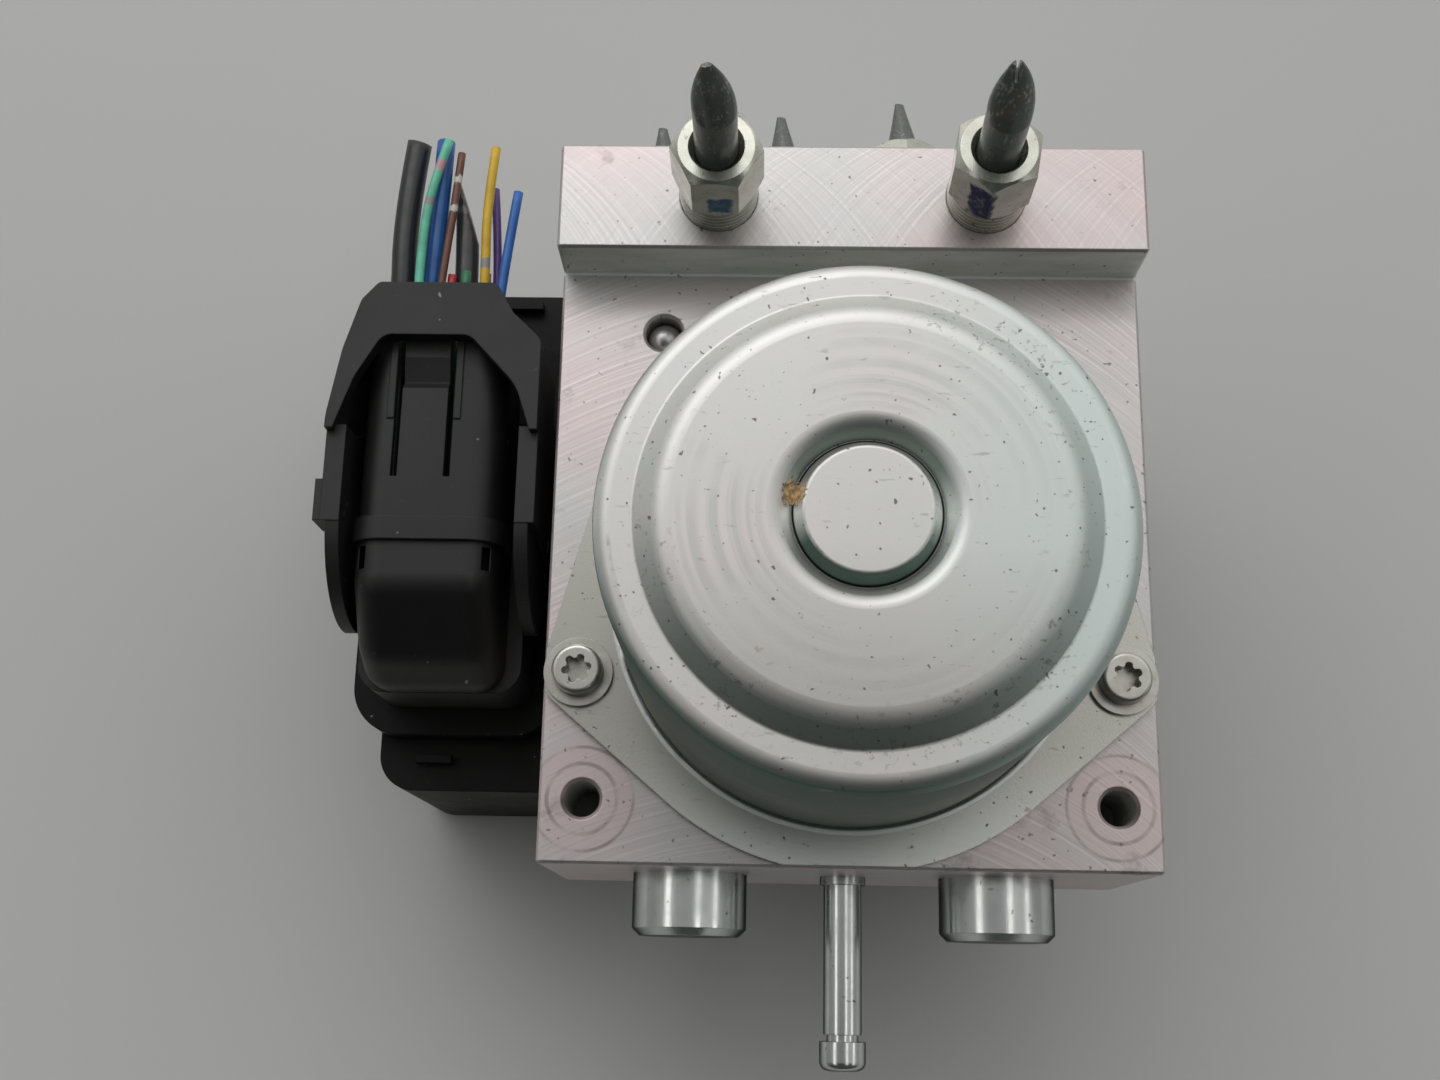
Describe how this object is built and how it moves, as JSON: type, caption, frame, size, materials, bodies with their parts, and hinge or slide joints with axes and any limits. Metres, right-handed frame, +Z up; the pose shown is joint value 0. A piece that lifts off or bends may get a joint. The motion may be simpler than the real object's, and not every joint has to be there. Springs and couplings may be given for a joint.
{
  "type": "abs brake module",
  "caption": "Anti-lock brake hydraulic unit: milled valve block with an electric pump motor, pipe nuts, accumulators, mounting pin, and a controller with a lever-locked plug",
  "frame": {"origin": "On the motor's axis, on the underside of the controller's lid that the module lies on", "axes": "+Z up along the motor's axis, +Y to the edge with the pipe ports, +X to the side away from the wiring plug"},
  "size_m": [0.1268, 0.1597, 0.1272],
  "materials": {
    "aluminium": "milled",
    "zinc": "zinc plated",
    "zinc_screws": "zinc plated",
    "yellow_zinc": "yellow passivated",
    "pipe": "dark coating, bare cut ends",
    "bright": "polished",
    "steel": "ground",
    "spring": "drawn wire",
    "laminations": "laminated sheet",
    "copper": "enamelled copper wire",
    "commutator": "turned copper",
    "magnet": "ferrite",
    "carbon": "pressed carbon",
    "housing_plastic": "fine moulded grain",
    "plug_plastic": "satin",
    "inner_plastic": "moulded",
    "coil": "overmoulded winding",
    "board": "solder resist",
    "contact": "tinned",
    "rubber": "moulded",
    "seal": "silicone",
    "ball": "pressed in",
    "wire_black": "cable insulation",
    "wire_mint": "cable insulation",
    "wire_blue": "cable insulation",
    "wire_brown": "cable insulation",
    "wire_red": "cable insulation",
    "wire_green": "cable insulation",
    "wire_yellow": "cable insulation",
    "wire_pink": "cable insulation",
    "wire_violet": "cable insulation",
    "wire_light_blue": "cable insulation"
  },
  "bodies": {
    "module": {"accumulator_cap_left": "bright", "accumulator_cap_right": "bright", "accumulator_spring_left": "spring", "accumulator_spring_right": "spring", "brush_plate": "inner_plastic", "brush_springs": "spring", "brushes": "carbon", "circuit_board": "board", "controller_housing": "housing_plastic", "controller_lid": "housing_plastic", "controller_screws": "zinc_screws", "front_pipe_left": "pipe", "front_pipe_nuts": "yellow_zinc", "front_pipe_right": "pipe", "housing_gasket": "seal", "hydraulic_block": "aluminium", "inlet_valves": "steel", "lower_bearing": "steel", "magnets": "magnet", "motor_can": "zinc", "motor_screws": "zinc_screws", "motor_terminal": "inner_plastic", "mounting_pin": "bright", "outlet_valves": "steel", "plunger_spring_left": "spring", "plunger_spring_right": "spring", "port_ball": "ball", "power_blades": "contact", "pump_plugs": "steel", "rear_pipe_nuts": "yellow_zinc", "rear_pipe_stubs": "pipe", "signal_pins": "contact", "upper_bearing": "steel", "valve_coils": "coil"},
    "rotor": {"rotor_shaft": "steel", "rotor_core": "laminations", "rotor_winding": "copper", "commutator": "commutator", "eccentric_ring": "steel"},
    "pump_left": {"pump_plunger_left": "steel"},
    "pump_right": {"pump_plunger_right": "steel"},
    "accumulator_left": {"accumulator_piston_left": "aluminium", "piston_seal_left": "rubber"},
    "accumulator_right": {"accumulator_piston_right": "aluminium", "piston_seal_right": "rubber"},
    "plug": {"plug_body": "plug_plastic", "plug_cover": "plug_plastic", "plug_seal": "seal", "wire_black_ground": "wire_black", "wire_black_power": "wire_black", "wire_blue_motor": "wire_blue", "wire_brown": "wire_brown", "wire_green": "wire_green", "wire_light_blue": "wire_light_blue", "wire_mint": "wire_mint", "wire_pink": "wire_pink", "wire_red": "wire_red", "wire_violet": "wire_violet", "wire_yellow": "wire_yellow"},
    "lever": {"lock_lever": "plug_plastic"}
  },
  "joints": [
    {"name": "rotor_spin", "type": "hinge", "parent": "module", "child": "rotor", "pos_m": [0, 0, 0.0805], "axis": [0, 0, 1], "continuous": true},
    {"name": "pump_left_slide", "type": "slide", "parent": "module", "child": "pump_left", "axis": [-1, 0, 0], "range_m": [0, 0.002], "stiffness_N_per_m": 2000, "springref_m": -0.001, "deforming": ["plunger_spring_left"]},
    {"name": "pump_right_slide", "type": "slide", "parent": "module", "child": "pump_right", "axis": [1, 0, 0], "range_m": [0, 0.002], "stiffness_N_per_m": 2000, "springref_m": -0.001, "deforming": ["plunger_spring_right"]},
    {"name": "accumulator_left_slide", "type": "slide", "parent": "module", "child": "accumulator_left", "axis": [0, -1, 0], "range_m": [0, 0.01], "stiffness_N_per_m": 1500, "springref_m": -0.002, "deforming": ["accumulator_spring_left"]},
    {"name": "accumulator_right_slide", "type": "slide", "parent": "module", "child": "accumulator_right", "axis": [0, -1, 0], "range_m": [0, 0.01], "stiffness_N_per_m": 1500, "springref_m": -0.002, "deforming": ["accumulator_spring_right"]},
    {"name": "plug_slide", "type": "slide", "parent": "module", "child": "plug", "axis": [0, 0, 1], "range_m": [0, 0.0075]},
    {"name": "lever_turn", "type": "hinge", "parent": "plug", "child": "lever", "pos_m": [-0.0642, 0.0128, 0.0644], "axis": [1, 0, 0], "range_deg": [0, 80]}
  ],
  "couplings": [
    {"joint": "lever_turn", "follows": "plug_slide", "rad_per_m": 186.17}
  ]
}
